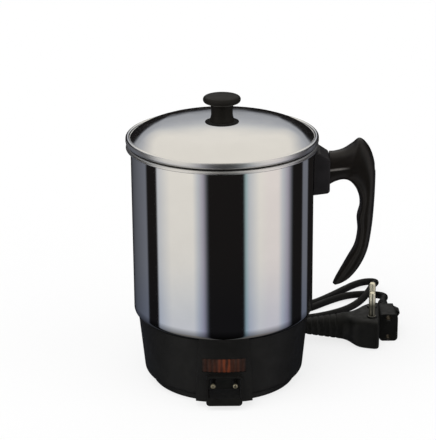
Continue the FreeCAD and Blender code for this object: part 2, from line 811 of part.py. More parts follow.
def make_wiring():
    pin_x = D.inlet_spacing.value / 2
    pin_z = D.inlet_height.value
    pin_end = -(D.shroud_front.value - D.recess_depth.value) + 12.0
    tab_x, tab_y = THERMOSTAT_AT
    end_x = D.element_circle.value * math.cos(math.radians(ELEMENT_FIRST_END))
    end_y = D.element_circle.value * math.sin(math.radians(ELEMENT_FIRST_END))
    fuse_x, fuse_z = FUSE_AT
    routes = {
        "live_wire": [
            (-pin_x, pin_end, pin_z), (-pin_x, -29, pin_z), (-11, -20, 15.5), (-15.5, -10, 15),
            (tab_x - TAB_OFFSET, 0, 17), (tab_x - TAB_OFFSET, tab_y, 23),
            (tab_x - TAB_OFFSET, tab_y, TAB_LOW),
        ],
        "link_wire": [
            (tab_x + TAB_OFFSET, tab_y, TAB_LOW), (tab_x + TAB_OFFSET, tab_y, 25),
            (-5.5, -2, 20.5), (2, -9.5, 21), (9, -14.5, 26),
            (fuse_x, -11.5, fuse_z), (fuse_x, -4, fuse_z),
        ],
        "neutral_wire": [
            (pin_x, pin_end, pin_z), (pin_x, -29, pin_z), (5, -19, 14.5), (0, -7, 13.5), (-6, 6, 13.7),
            (-11, 17, 15.5), (end_x, end_y, 21.5), (end_x, end_y, TERMINAL_LOW),
        ],
    }
    for label, points in routes.items():
        node(label, tube(label, route_edges(points), WIRE_RADIUS))
    lamp_x, lamp_y, lamp_z = LAMP_AT
    leads = []
    for side in (-1, 1):
        points = [
            (side * 8.0, lamp_y, lamp_z), (side * 11.0, lamp_y, lamp_z),
            (side * 12.0, lamp_y + 5, lamp_z - 0.6), (side * 10.5, TAB_Y - 3.5, lamp_z - 2.5),
            (side * pin_x, TAB_Y, 25), (side * pin_x, TAB_Y, pin_z + 1.2),
        ]
        leads.append(tube(f"lamp_lead_{side}", route_edges(points), LEAD_RADIUS))
    node("lamp_leads", group("lamp_leads", leads))


# Mains lead

def ribbed_outline(foot_radius, end_radius, length, ribs):
    """(r, z) outline of a tapered strain relief with evenly spaced grooves."""
    groove = 0.6
    outline = [(0, 0), (foot_radius, 0)]
    pitch = length / (ribs + 1)
    for index in range(ribs):
        middle = pitch * (index + 1)
        radius = foot_radius + (end_radius - foot_radius) * (middle / length)
        outline += [
            (radius, middle - pitch * 0.22), (radius - groove, middle - pitch * 0.12),
            (radius - groove, middle + pitch * 0.12), (radius, middle + pitch * 0.22),
        ]
    return outline + [(end_radius, length), (0, length)]


PLUG_TURN = 5.0
PLUG_END = 5.2
PLUG_SHOULDER = -15.0
PLUG_FLARE = 11.0


def make_plug():
    half = D.plug_half.value
    shoulder_half = half - 6.5
    turn = Rotation(Vector(0, 0, 1), -PLUG_TURN)
    plan = rounded([
        (PLUG_END, -half, 3.5), (PLUG_END, half, 3.5),
        (PLUG_SHOULDER, shoulder_half, 5.0), (PLUG_SHOULDER, -shoulder_half, 5.0),
    ])
    head = padded("plug_head", "XY_Plane", plan, D.plug_height, round_edge=2.4)
    place(head, (D.plug_x, D.plug_y, 0), turn)
    axis_z = D.plug_height / 2
    flare_length = 13.0
    flare = turned("plug_flare", [
        (0, 0), (PLUG_FLARE - 0.1, 0), (PLUG_FLARE - 0.1, 3.0),
        (D.plug_neck, flare_length), (0, flare_length),
    ], (D.plug_neck_start + flare_length, D.plug_y, axis_z), ALONG_MINUS_X)
    bores = []
    collars = []
    pins = []
    root_depth = 7.0
    root_radius = D.plug_pin + 0.4
    collar = 0.8
    for index, side in enumerate((-1, 1)):
        x = D.plug_x + D.plug_pin_spacing * (side / 2 * math.sin(math.radians(PLUG_TURN)))
        y = D.plug_y + D.plug_pin_spacing * (side / 2 * math.cos(math.radians(PLUG_TURN)))
        collar_at = (x, y, D.plug_height - 1.0 + collar)
        collars.append(rod(f"pin_collar_{index}", D.plug_pin + 1.4, 1.0, collar_at))
        bores.append(rod(f"pin_bore_{index}", root_radius + 0.03, 20, (x, y, D.plug_height - root_depth)))
        tip = D.plug_pin_length
        rounding = 1.4
        pin = [
            (0, -root_depth), (root_radius, -root_depth), (root_radius, collar), (D.plug_pin, collar),
            (D.plug_pin, tip - rounding), (D.plug_pin - rounding, tip, rounding), (0, tip),
        ]
        pins.append(turned(f"plug_pin_{index}", pin, (x, y, D.plug_height)))
    node("plug_body", cut("plug_body", fused("plug_form", [head, flare] + collars), bores))
    node("plug_pins", group("plug_pins", pins))
    ribs = 8
    neck = ribbed_outline(D.plug_neck, as_size(4.2), D.plug_neck_start - D.plug_neck_end, ribs)
    neck_at = (D.plug_neck_start, D.plug_y, axis_z)
    node("plug_strain_relief", turned("plug_strain_relief", neck, neck_at, ALONG_MINUS_X))


def make_connector():
    half = D.connector_half
    length = D.connector_length
    height = D.connector_height
    narrowing = 2.4
    plan = padded("connector_plan", "XY_Plane", [
        (half, 0), (half - narrowing, length), (narrowing - half, length), (-half, 0),
    ], height, at=(D.connector_x, D.connector_y, 0))
    corner = 3.0
    end_view = padded("connector_end_view", "XZ_Plane", [
        (half - corner, 0), (half, corner, corner),
        (half, height - corner), (half - corner, height, corner),
        (corner - half, height), (-half, height - corner, corner),
        (-half, corner), (corner - half, 0, corner),
    ], length + 2, at=(D.connector_x, D.connector_y + length + 1, 0))
    rounding = 8.0
    side_view = padded("connector_side_view", "YZ_Plane", [
        (0, 0), (length - rounding, 0), (length, rounding, rounding), (length, height - rounding),
        (length - rounding, height, rounding), (0, height),
    ], half * 2 + 2, at=(D.connector_x, D.connector_y, 0), centred=True)
    nose = common("connector_nose", [plan, end_view, side_view])
    ridge_length = 8.0
    ridge = padded("thumb_ridge", "XZ_Plane", [
        (half - 3.5, 8.0), (half - 1.0, 8.5), (half + 2.6, 14.4), (half + 2.6, 16.2, 1.2), (half - 1.0, 18.0),
        (half - 3.5, 18.0),
    ], ridge_length, at=(D.connector_x, D.connector_y + 16.5 + ridge_length, 0))
    body = fused("connector_form", [nose, ridge])
    axis_z = height / 2
    sockets = []
    sleeves = []
    for index, side in enumerate((-1, 1)):
        z = axis_z + D.inlet_spacing * (side / 2)
        sockets.append(rod(f"socket_{index}", 2.2, 18, (D.connector_x, D.connector_y - 1, z), ALONG_Y))
        sleeve = [(1.65, 1.5), (2.15, 1.5), (2.15, 16.8), (1.65, 16.8)]
        sleeves.append(turned(f"contact_{index}", sleeve, (D.connector_x, D.connector_y, z), ALONG_Y))
    node("connector_body", cut("connector_body", body, sockets))
    node("connector_contacts", group("connector_contacts", sleeves))
    relief = ribbed_outline(as_size(4.4), as_size(3.6), D.connector_end - length, 5)
    relief_at = (D.connector_x, D.connector_y + length, axis_z)
    node("connector_strain_relief", turned("connector_strain_relief", relief, relief_at, ALONG_Y))


LYING = 2.9
CONNECTOR_LEAD = [
    (121.3, 100, 10.5), (121.3, 108, 10.5), (119.6, 117.5, 8.6), (114.6, 126, 5.7), (105.5, 131, 4.2),
    (93.5, 130.6, 3.4), (80.5, 121.5, LYING),
]
LOOPS = [
    (67, 109.5, LYING), (52, 101.5, LYING), (36, 99, LYING), (20, 102.5, LYING), (3, 108.5, LYING),
    (-14, 112.6, LYING), (-31.9, 113.5, LYING), (-43, 102.4, LYING), (-43, 86.6, LYING), (-31.9, 75.5, LYING),
    (-14, 75.6, LYING), (4, 77.3, LYING), (22, 80.2, LYING), (40, 84, LYING), (57, 89, LYING),
    (73, 96, LYING), (87, 105, 3.1), (97.5, 114, 6.2), (105.5, 123, 11.2), (112.5, 133.5, 11.6),
    (117.2, 144, 10.0), (120.5, 153, 7.4), (119.6, 161.2, 5.2), (113.6, 166.4, 3.8), (105.5, 165.2, 3.1),
    (96.5, 154, LYING), (83.5, 138.5, LYING), (69, 124.5, LYING), (53, 114.5, LYING), (36, 110.8, LYING),
    (19, 113.2, LYING), (2, 118.2, LYING), (-15, 121.6, LYING), (-35.6, 122.5, LYING), (-52, 106.1, LYING),
    (-52, 82.9, LYING), (-35.6, 66.5, LYING),
]
PLUG_LEAD = [
    (-18, 67.2, LYING), (-1, 67.2, 3.1), (14, 64.8, 4.4), (26.5, 60, 7.6), (37, 55.5, 11), (48, 55.5, 11),
]


def halves(run):
    """A straight run as two runs of half its length."""
    start, end = [vertex.Point for vertex in run.Vertexes]
    middle = (start + end) * 0.5
    return Part.LineSegment(start, middle).toShape(), Part.LineSegment(middle, end).toShape()


def least_gap_to_self(wire, diameter, step=1.0, neighbours=25.0):
    """Smallest clear distance between stretches of one tube that are apart along its length."""
    points = wire.discretize(Distance=step)
    skip = int(neighbours / step)
    least = min(
        (first - second).Length
        for index, first in enumerate(points)
        for second in points[index + skip:]
    )
    return least - diameter


def make_cord():
    radius = D.cord_diameter.value / 2
    edges = route_edges(CONNECTOR_LEAD + LOOPS + PLUG_LEAD)
    first = 2 * len(CONNECTOR_LEAD) - 2
    second = first + 2 * len(LOOPS)
    lead_end, loops_start = halves(edges[first])
    loops_end, plug_start = halves(edges[second])
    stretches = {
        "cord_connector_lead": edges[:first] + [lead_end],
        "cord_loops": [loops_start] + edges[first + 1:second] + [loops_end],
        "cord_plug_lead": [plug_start] + edges[second + 1:],
    }
    for label, stretch in stretches.items():
        node(label, tube(label, stretch, radius))
    whole = Part.Wire(edges)
    print(f"cord length {whole.Length:.1f}, least gap to itself {least_gap_to_self(whole, 2 * radius):.2f}")


# Document

def check_document():
    problems = []
    for item in doc.Objects:
        if {"Invalid", "Error"} & set(item.State):
            problems.append(f"{item.Name}: {item.State}")
    for label, item in nodes.items():
        if item.Shape.isNull() or not item.Shape.isValid() or not item.Shape.Solids:
            problems.append(f"{label}: no valid solid")
    if problems:
        raise RuntimeError("; ".join(problems))


def write_parts():
    os.makedirs("parts", exist_ok=True)
    for label, item in nodes.items():
        item.Shape.exportStep(f"parts/{label}.step")


make_cup()
make_lid()
make_knob()
make_handle()
make_base_housing()
make_bottom_cover()
make_base_fixings()
make_heater()
make_inlet()
make_pilot_lamp()
make_wiring()
make_plug()
make_connector()
make_cord()
doc.recompute()
check_document()
write_parts()
print(f"{len(nodes)} nodes written")
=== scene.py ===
"""Looks of the electric heating cup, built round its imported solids.

Metres, +Z up, the cup's axis on Z, the handle towards +X, the inlet and pilot lamp towards -Y.
Named sizes on the object are in millimetres, apart from the cord's length and the depths of grain.
"""
import bmesh
import bpy
import json
import math
from mathutils import Matrix, Vector


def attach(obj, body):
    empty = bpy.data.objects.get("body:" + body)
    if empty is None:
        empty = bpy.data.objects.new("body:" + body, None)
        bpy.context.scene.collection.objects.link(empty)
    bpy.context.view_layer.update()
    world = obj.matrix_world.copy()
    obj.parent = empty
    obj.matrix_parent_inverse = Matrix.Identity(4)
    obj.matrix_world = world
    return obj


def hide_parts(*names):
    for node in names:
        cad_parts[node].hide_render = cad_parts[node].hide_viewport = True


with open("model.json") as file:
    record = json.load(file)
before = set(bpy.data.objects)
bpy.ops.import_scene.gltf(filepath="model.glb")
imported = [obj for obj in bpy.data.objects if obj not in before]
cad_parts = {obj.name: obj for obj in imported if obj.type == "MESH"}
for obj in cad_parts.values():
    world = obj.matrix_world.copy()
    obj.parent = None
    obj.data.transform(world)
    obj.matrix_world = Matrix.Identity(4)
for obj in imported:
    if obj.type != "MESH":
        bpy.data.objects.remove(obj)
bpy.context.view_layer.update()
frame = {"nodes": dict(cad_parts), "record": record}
nodes = frame["nodes"]
scene = bpy.context.scene
scene.view_settings.view_transform = "Standard"
MM = 0.001
WHITE = (1.0, 1.0, 1.0)


# Camera

CAMERA_DISTANCE = 1.2
CAMERA_ELEVATION = math.radians(19.36)
CAMERA_ROLL = math.radians(-0.47)
CAMERA_TARGET = Vector((-0.00324, 0.0, 0.1136))
CAMERA_LENS = 143.02


def make_camera():
    ahead = Vector((0, math.cos(CAMERA_ELEVATION), -math.sin(CAMERA_ELEVATION)))
    right = Vector((1, 0, 0))
    up = right.cross(ahead)
    tilted_right = right * math.cos(CAMERA_ROLL) + up * math.sin(CAMERA_ROLL)
    tilted_up = up * math.cos(CAMERA_ROLL) - right * math.sin(CAMERA_ROLL)
    data = bpy.data.cameras.new("camera")
    data.lens = CAMERA_LENS
    camera = bpy.data.objects.new("camera", data)
    turn = Matrix((tilted_right, tilted_up, -ahead)).transposed()
    place = Matrix.Translation(CAMERA_TARGET - ahead * CAMERA_DISTANCE)
    camera.matrix_world = place @ turn.to_4x4()
    scene.collection.objects.link(camera)
    scene.camera = camera


make_camera()


# Pieces

SHARP_EDGE = math.radians(32)
ROUNDED_SHARP_EDGE = math.radians(40)
CUT_SHARP_EDGE = math.radians(50)
ARC_STEP = math.radians(7.5)
LEAST_ARC_STEPS = 4
EDGE_SUPPORT = 0.35
LONG_LINE = 6 * EDGE_SUPPORT
ON_AXIS = 1e-6


def add_piece(name, data, body, material, replaced, mirrored=True):
    """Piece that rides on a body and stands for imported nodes; the steel mirrors it or leaves it out."""
    piece = bpy.data.objects.new(name, data)
    scene.collection.objects.link(piece)
    data.materials.append(material)
    piece.visible_glossy = mirrored
    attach(piece, body)
    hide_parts(*replaced)
    return piece


def mesh_from(name, build, sharp_edge=SHARP_EDGE):
    """Mesh filled by build(bm), with outward faces, smooth but for edges sharper than an angle."""
    bm = bmesh.new()
    build(bm)
    bmesh.ops.recalc_face_normals(bm, faces=bm.faces)
    mesh = bpy.data.meshes.new(name)
    bm.to_mesh(mesh)
    bm.free()
    mesh.shade_smooth()
    mesh.set_sharp_from_angle(angle=sharp_edge)
    return mesh


def bridge(bm, rings, closed):
    """Quads between rings, triangles to a ring of one point, and back to the first ring where closed."""
    pairs = list(zip(rings, rings[1:]))
    if closed:
        pairs.append((rings[-1], rings[0]))
    for first, second in pairs:
        count = max(len(first), len(second))
        for index in range(count):
            after = (index + 1) % count
            corners = []
            for corner in (first[index % len(first)], first[after % len(first)],
                           second[after % len(second)], second[index % len(second)]):
                if corner not in corners:
                    corners.append(corner)
            if len(corners) > 2:
                bm.faces.new(corners)


def loft(bm, rings):
    """Closed skin through rings, with a face at each end."""
    bridge(bm, rings, closed=False)
    bm.faces.new(rings[0])
    bm.faces.new(rings[-1])


def arc_points(start, end, radius):
    """Points after start on a minor arc to end; a positive radius turns left on the way."""
    chord = end - start
    half = chord.length / 2
    side = Vector((-chord.y, chord.x)).normalized()
    rise = math.sqrt(max(radius * radius - half * half, 0.0))
    centre = (start + end) / 2 + side * math.copysign(rise, radius)
    sweep = 2 * math.asin(min(half / abs(radius), 1.0))
    steps = max(LEAST_ARC_STEPS, math.ceil(sweep / ARC_STEP))
    turn = math.copysign(sweep / steps, radius)
    return [centre + Matrix.Rotation(turn * step, 2) @ (start - centre) for step in range(1, steps + 1)]


def line_points(start, end):
    """Points after start on a line, with one close to each end of a long line to keep its shading flat."""
    run = end - start
    if run.length < LONG_LINE:
        return [end]
    step = run.normalized() * EDGE_SUPPORT
    return [start + step, end - step, end]


def dense_outline(outline):
    """Closed outline of corners (r, z), or (r, z, radius) where an arc leads to the corner."""
    corners = [Vector(corner[:2]) for corner in outline]
    points = []
    for index, corner in enumerate(outline):
        start, end = corners[index - 1], corners[index]
        if len(corner) == 3:
            points += arc_points(start, end, corner[2])
        elif start.x or end.x:
            points += line_points(start, end)
        else:
            points.append(end)
    return points


def turn_outline(bm, outline, segments, centre=(0, 0, 0)):
    """Closed solid of revolution about an upright axis through the centre."""
    middle = Vector(centre)
    rings = []
    for radius, height in dense_outline(outline):
        count = segments if radius > ON_AXIS else 1
        ring = []
        for index in range(count):
            angle = math.tau * index / count
            around = Vector((radius * math.cos(angle), radius * math.sin(angle), height))
            ring.append(bm.verts.new((middle + around) * MM))
        rings.append(ring)
    bridge(bm, rings, closed=True)


def lathe(name, outline, segments):
    return mesh_from(name, lambda bm: turn_outline(bm, outline, segments))


def smooth_through(values, place):
    """Value on a smooth curve through a list, at a place between 0 and its last index."""
    index = min(int(place), len(values) - 2)
    part = place - index
    before = values[max(index - 1, 0)]
    start, end = values[index], values[index + 1]
    after = values[min(index + 2, len(values) - 1)]
    slope_in = (end - before) / 2
    slope_out = (after - start) / 2
    bend = (start - end) * 2 + slope_in + slope_out
    return ((bend * part + (end - start) * 3 - slope_in * 2 - slope_out) * part + slope_in) * part + start


def squared(value, squareness):
    """A sine or cosine pushed outwards, for a section between an ellipse (2) and a rectangle (high)."""
    return math.copysign(abs(value) ** (2 / squareness), value)


def clamped(value):
    return min(max(value, 0.0), 1.0)


# Shader nodes

NOISE_LOW = 0.3
NOISE_HIGH = 0.7
MIX_FIRST_COLOR = 6
MIX_SECOND_COLOR = 7
MIX_COLOR_RESULT = 2


def new_material(name, color, roughness, metallic=0.0, specular=0.5):
    material = bpy.data.materials.new(name)
    material.use_nodes = True
    shader = material.node_tree.nodes["Principled BSDF"]
    shader.inputs["Base Color"].default_value = (*color, 1)
    shader.inputs["Roughness"].default_value = roughness
    shader.inputs["Metallic"].default_value = metallic
    shader.inputs["Specular IOR Level"].default_value = specular
    return material, material.node_tree, shader


def grey(value):
    return (value, value, value)


def feed(tree, socket, value):
    """Give a socket a colour, a number or a link from another socket."""
    if isinstance(value, tuple):
        socket.default_value = (*value, 1)
    elif isinstance(value, (int, float)):
        socket.default_value = value
    else:
        tree.links.new(value, socket)


def axes_of(tree, coordinates):
    """The x, y and z of a set of texture coordinates."""
    place = tree.nodes.new("ShaderNodeTexCoord")
    split = tree.nodes.new("ShaderNodeSeparateXYZ")
    tree.links.new(place.outputs[coordinates], split.inputs["Vector"])
    return split.outputs


def noise(tree, scale, stretch=(1, 1, 1), detail=3.0):
    """Noise over the part's own coordinates, its grain packed closer along an axis that is scaled up."""
    place = tree.nodes.new("ShaderNodeTexCoord")
    mapping = tree.nodes.new("ShaderNodeMapping")
    mapping.inputs["Scale"].default_value = stretch
    texture = tree.nodes.new("ShaderNodeTexNoise")
    texture.inputs["Scale"].default_value = scale
    texture.inputs["Detail"].default_value = detail
    tree.links.new(place.outputs["Object"], mapping.inputs["Vector"])
    tree.links.new(mapping.outputs["Vector"], texture.inputs["Vector"])
    return texture.outputs["Fac"]


def ramp(tree, factor, stops):
    """Colour ramp through (position, colour) stops."""
    item = tree.nodes.new("ShaderNodeValToRGB")
    elements = item.color_ramp.elements
    while len(elements) < len(stops):
        elements.new(1.0)
    for element, (position, color) in zip(elements, stops):
        element.position = position
        element.color = (*color, 1)
    tree.links.new(factor, item.inputs["Fac"])
    return item.outputs["Color"]


def grey_ramp(tree, factor, stops):
    """Ramp through (position, brightness) stops."""
    return ramp(tree, factor, [(position, grey(value)) for position, value in stops])


def math_node(tree, operation, *values):
    item = tree.nodes.new("ShaderNodeMath")
    item.operation = operation
    for socket, value in zip(item.inputs, values):
        feed(tree, socket, value)
    return item.outputs["Value"]


def mix_colors(tree, factor, first, second, blend="MIX"):
    item = tree.nodes.new("ShaderNodeMix")
    item.data_type = "RGBA"
    item.blend_type = blend
    feed(tree, item.inputs["Factor"], factor)
    feed(tree, item.inputs[MIX_FIRST_COLOR], first)
    feed(tree, item.inputs[MIX_SECOND_COLOR], second)
    return item.outputs[MIX_COLOR_RESULT]


def spread(tree, factor, low, high):
    """A noise value mapped to a range."""
    item = tree.nodes.new("ShaderNodeMapRange")
    item.inputs["From Min"].default_value = NOISE_LOW
    item.inputs["From Max"].default_value = NOISE_HIGH
    item.inputs["To Min"].default_value = low
    item.inputs["To Max"].default_value = high
    tree.links.new(factor, item.inputs["Value"])
    return item.outputs["Result"]


def mottled(tree, shader, factor, color, amount):
    """Base colour that wanders a little about its own value."""
    low = tuple(part * (1 - amount) for part in color)
    high = tuple(part * (1 + amount) for part in color)
    tree.links.new(ramp(tree, factor, [(NOISE_LOW, low), (NOISE_HIGH, high)]), shader.inputs["Base Color"])


def bump(tree, shader, height, distance):
    item = tree.nodes.new("ShaderNodeBump")
    item.inputs["Distance"].default_value = distance
    item.inputs["Strength"].default_value = 1.0
    tree.links.new(height, item.inputs["Height"])
    tree.links.new(item.outputs["Normal"], shader.inputs["Normal"])


def share_between(tree, length, low, high):
    """0 where a length on the part is at the low end of a range, and 1 at the high end."""
    past = math_node(tree, "SUBTRACT", length, low * MM)
    return math_node(tree, "DIVIDE", past, (high - low) * MM)


def height_between(tree, low, high):
    return share_between(tree, axes_of(tree, "Object")["Z"], low, high)


def recolor(material, share, tone, blend="MIX"):
    """Base colour mixed with a tone."""
    tree = material.node_tree
    base = tree.nodes["Principled BSDF"].inputs["Base Color"]
    tree.links.new(mix_colors(tree, share, base.links[0].from_socket, tone, blend), base)


# Materials

METAL_TONE_SCALE = 60
METAL_HAZE_SCALE = 140
METAL_HAZE = (0.7, 1.4)
PLASTIC_TONE_SCALE = 90
PLASTIC_GLOSS_SCALE = 220
PLASTIC_GLOSS = (0.85, 1.15)
PLASTIC_DETAIL = 2.0


def metal(name, color, roughness, polish_lines=(1, 1, 1), amount=0.04, grain=900, depth=0.000004):
    """Metal with wandering tone, polish haze and fine polish lines; the depth is in metres."""
    material, tree, shader = new_material(name, color, roughness, metallic=1.0)
    mottled(tree, shader, noise(tree, METAL_TONE_SCALE), color, amount)
    low, high = (roughness * share for share in METAL_HAZE)
    haze = spread(tree, noise(tree, METAL_HAZE_SCALE, polish_lines), low, high)
    tree.links.new(haze, shader.inputs["Roughness"])
    bump(tree, shader, noise(tree, grain, polish_lines), depth)
    return material


def plastic(name, color, roughness, grain=2200, depth=0.00002, amount=0.2, specular=0.35):
    """Moulded plastic with a fine grain, an uneven gloss and tone; the depth is in metres."""
    material, tree, shader = new_material(name, color, roughness, specular=specular)
    mottled(tree, shader, noise(tree, PLASTIC_TONE_SCALE), color, amount)
    low, high = (roughness * share for share in PLASTIC_GLOSS)
    gloss = spread(tree, noise(tree, PLASTIC_GLOSS_SCALE), low, high)
    tree.links.new(gloss, shader.inputs["Roughness"])
    bump(tree, shader, noise(tree, grain, detail=PLASTIC_DETAIL), depth)
    return material


LENS_RIBS = 9
LENS_HALF = 14.55
LENS_COLOR = (0.013, 0.007, 0.005)
LENS_GLOW = [
    (0.0, (0.012, 0.004, 0.003)), (0.25, (0.022, 0.007, 0.004)), (0.42, (0.07, 0.016, 0.007)),
    (0.52, (0.15, 0.03, 0.009)), (0.64, (0.15, 0.03, 0.009)), (0.74, (0.035, 0.01, 0.005)),
    (1.0, (0.01, 0.004, 0.003)),
]
LENS_BAR_CONTRAST = 0.3
LENS_BAR_LEVEL = 0.58
LENS_STREAK_SCALE = 260
LENS_STREAK_STRETCH = (1, 1, 0.2)
LENS_STREAKS = (0.1, 1.7)


def lens_material():
    """Dark red ribbed plastic with a lamp behind its middle, dim towards the ends and between the ribs."""
    material, tree, shader = new_material("red_lens", LENS_COLOR, 0.45, specular=0.12)
    mottled(tree, shader, noise(tree, 300), LENS_COLOR, 0.3)
    across = math_node(tree, "DIVIDE", axes_of(tree, "Object")["X"], LENS_HALF * MM)
    from_left = math_node(tree, "ADD", math_node(tree, "MULTIPLY", across, 0.5), 0.5)
    lamp = ramp(tree, from_left, LENS_GLOW)
    wave = math_node(tree, "COSINE", math_node(tree, "MULTIPLY", across, math.pi * LENS_RIBS))
    bars = math_node(tree, "ADD", math_node(tree, "MULTIPLY", wave, LENS_BAR_CONTRAST), LENS_BAR_LEVEL)
    streaks = spread(tree, noise(tree, LENS_STREAK_SCALE, LENS_STREAK_STRETCH), *LENS_STREAKS)
    glow = mix_colors(tree, 1.0, lamp, math_node(tree, "MULTIPLY", bars, streaks), "MULTIPLY")
    tree.links.new(glow, shader.inputs["Emission Color"])
    shader.inputs["Emission Strength"].default_value = 1.0
    bump(tree, shader, noise(tree, 900), 0.00002)
    return material


STEEL = (0.80, 0.79, 0.765)
BRASS = (0.95, 0.9, 0.7)
AROUND_THE_CUP = (1, 1, 30)
MATERIALS = {
    "polished_steel": metal("polished_steel", STEEL, 0.05, AROUND_THE_CUP, 0.015, depth=0.0000015),
    "plated_steel": metal("plated_steel", (0.6, 0.6, 0.58), 0.28),
    "black_plastic": plastic("black_plastic", (0.0062, 0.0060, 0.0054), 0.48, specular=0.18),
    "knob_plastic": plastic("knob_plastic", (0.011, 0.010, 0.0085), 0.45, specular=0.07),
    "handle_plastic": plastic("handle_plastic", (0.0072, 0.0058, 0.0046), 0.33, specular=0.26),
    "mount_plastic": plastic("mount_plastic", (0.0095, 0.0082, 0.0092), 0.5, specular=0.26),
    "silicone": plastic("silicone", (0.5, 0.49, 0.46), 0.6, amount=0.06),
    "aluminium_plate": metal("aluminium_plate", (0.75, 0.75, 0.75), 0.4, grain=300, depth=0.00003),
    "element_sheath": metal("element_sheath", (0.35, 0.33, 0.3), 0.45, amount=0.2),
    "thermostat_ceramic": plastic("thermostat_ceramic", (0.8, 0.77, 0.7), 0.7, amount=0.05),
    "brass": metal("brass", BRASS, 0.48, amount=0.06),
    "fuse_can": metal("fuse_can", (0.7, 0.7, 0.72), 0.25),
    # Painted light: the inlet's plastic is lighter than the other blacks, so that deep in its recess it
    # renders about as bright as the housing's face
    "inlet_plastic": plastic("inlet_plastic", (0.02, 0.02, 0.018), 0.5, specular=0.22),
    "red_lens": lens_material(),
    "lamp_glass": plastic("lamp_glass", (0.75, 0.35, 0.16), 0.12, amount=0.15),
    "live_sleeve": plastic("live_sleeve", (0.3, 0.13, 0.06), 0.5, amount=0.08),
    "neutral_sleeve": plastic("neutral_sleeve", (0.06, 0.13, 0.35), 0.5, amount=0.08),
    "lead_sleeve": plastic("lead_sleeve", (0.75, 0.75, 0.73), 0.5, amount=0.05),
    "cord_plastic": plastic("cord_plastic", (0.0048, 0.0048, 0.0040), 0.5, 1600, 0.00003, specular=0.18),
    "cord_sheath": plastic("cord_sheath", (0.0040, 0.0040, 0.0035), 0.52, 1800, 0.00002, specular=0.16),
}
# Painted shade: the disc under the knob is far darker than the other blacks, so that its lit top stays as
# dark as shade
DISC_SHADE_BLACK = plastic("disc_shade_black", (0.0012, 0.0012, 0.001), 0.6, specular=0.06)
# Painted shade: brass darkened to stand for the shade deep in the connector's sockets
SOCKET_SHADE_BRASS = metal("socket_shade_brass", (0.06, 0.046, 0.026), 0.5, amount=0.1)
LID_STEEL = metal("lid_steel", STEEL, 0.09, amount=0.012, depth=0.0000005)
SLEEVED_BRASS = metal("sleeved_brass", BRASS, 0.48, amount=0.06)
INLET_BRASS = metal("inlet_brass", (0.42, 0.38, 0.26), 0.4, amount=0.1)


# Duller rolled edges, a sleeve, and painted shade and highlights on single materials

# Heights of the rolled edges: a painted shade ring in the crease between lid and cup, and duller metal on
# the rolls
SEAM_LOW = 165
SEAM_HIGH = 175
SEAM_SHADE = [(0.42, 1), (0.47, 0.2), (0.53, 0.2), (0.59, 1)]
ROLLED_SHARE = [(0.2, 0), (0.24, 1), (0.92, 1), (0.98, 0)]
ROLLED_ROUGHNESS = 0.34
# Painted shade that darkens the cup's wall towards its base, by height, from the radius where the wall
# begins
BASE_SHADE_LOW = 47.2
BASE_SHADE_HIGH = 57.2
BASE_SHADE_TONES = [(0.0, 0.05), (0.2, 0.1), (0.41, 0.23), (0.68, 0.54), (0.95, 1)]
BASE_SHADE_FROM_RADIUS = 57.5
# Plug pins by height: a dark sleeve low down, and painted shade fading out above it
PLUG_PIN_LOW = 22
PLUG_PIN_HIGH = 42
SLEEVE_AND_SHADE_TONES = [(0.46, 0.16), (0.52, 0.4), (0.7, 1)]
INLET_PIN_TIP = -62.0
INLET_PIN_SHADED = -59.0
INLET_PIN_TONES = [(0.0, 1), (0.25, 1), (1.0, 0.03)]
# Painted highlight along the ledge on the grip's arm: its tone, rise, height band, and fade along the arm
PAINTED_HIGHLIGHT = (0.16, 0.15, 0.14)
PAINTED_HIGHLIGHT_SLOPE = 0.1
PAINTED_HIGHLIGHT_LOW = 143.3
PAINTED_HIGHLIGHT_HIGH = 145.3
PAINTED_HIGHLIGHT_ACROSS = [(0.0, 0), (0.4, 1), (0.6, 1), (1.0, 0)]
PAINTED_HIGHLIGHT_START = 72.6
PAINTED_HIGHLIGHT_END = 86.6
PAINTED_HIGHLIGHT_ALONG = [(0.0, 0.8), (0.5, 0.8), (1.0, 0)]


def dull_rolls_and_shade_seam(material):
    """Duller metal where lid and cup are rolled over, and a painted shade ring in the crease where they
    meet.
    """
    tree = material.node_tree
    height = height_between(tree, SEAM_LOW, SEAM_HIGH)
    recolor(material, 1.0, grey_ramp(tree, height, SEAM_SHADE), "MULTIPLY")
    roughness = tree.nodes["Principled BSDF"].inputs["Roughness"]
    haze = roughness.links[0].from_socket
    rolled = grey_ramp(tree, height, ROLLED_SHARE)
    tree.links.new(mix_colors(tree, rolled, haze, grey(ROLLED_ROUGHNESS)), roughness)


def shade_wall_towards_base(material):
    """Painted shade: steel that darkens towards the base, on the cup's wall but not on its floor."""
    tree = material.node_tree
    axes = axes_of(tree, "Object")
    squares = [math_node(tree, "MULTIPLY", axes[name], axes[name]) for name in ("X", "Y")]
    radius = math_node(tree, "SQRT", math_node(tree, "ADD", *squares))
    wall = math_node(tree, "GREATER_THAN", radius, BASE_SHADE_FROM_RADIUS * MM)
    tone = grey_ramp(tree, height_between(tree, BASE_SHADE_LOW, BASE_SHADE_HIGH), BASE_SHADE_TONES)
    recolor(material, wall, tone, "MULTIPLY")


def sleeve_and_shade_pins(material):
    """Plug pins with a dark insulating sleeve round their lower half, and painted shade fading out up the
    pin above it.
    """
    tree = material.node_tree
    tone = grey_ramp(tree, height_between(tree, PLUG_PIN_LOW, PLUG_PIN_HIGH), SLEEVE_AND_SHADE_TONES)
    recolor(material, 1.0, tone, "MULTIPLY")


def shade_behind_tips(material):
    """Inlet pins that are bright at their tips only, because the recess shades the rest."""
    tree = material.node_tree
    depth = share_between(tree, axes_of(tree, "Object")["Y"], INLET_PIN_TIP, INLET_PIN_SHADED)
    recolor(material, 1.0, grey_ramp(tree, depth, INLET_PIN_TONES), "MULTIPLY")


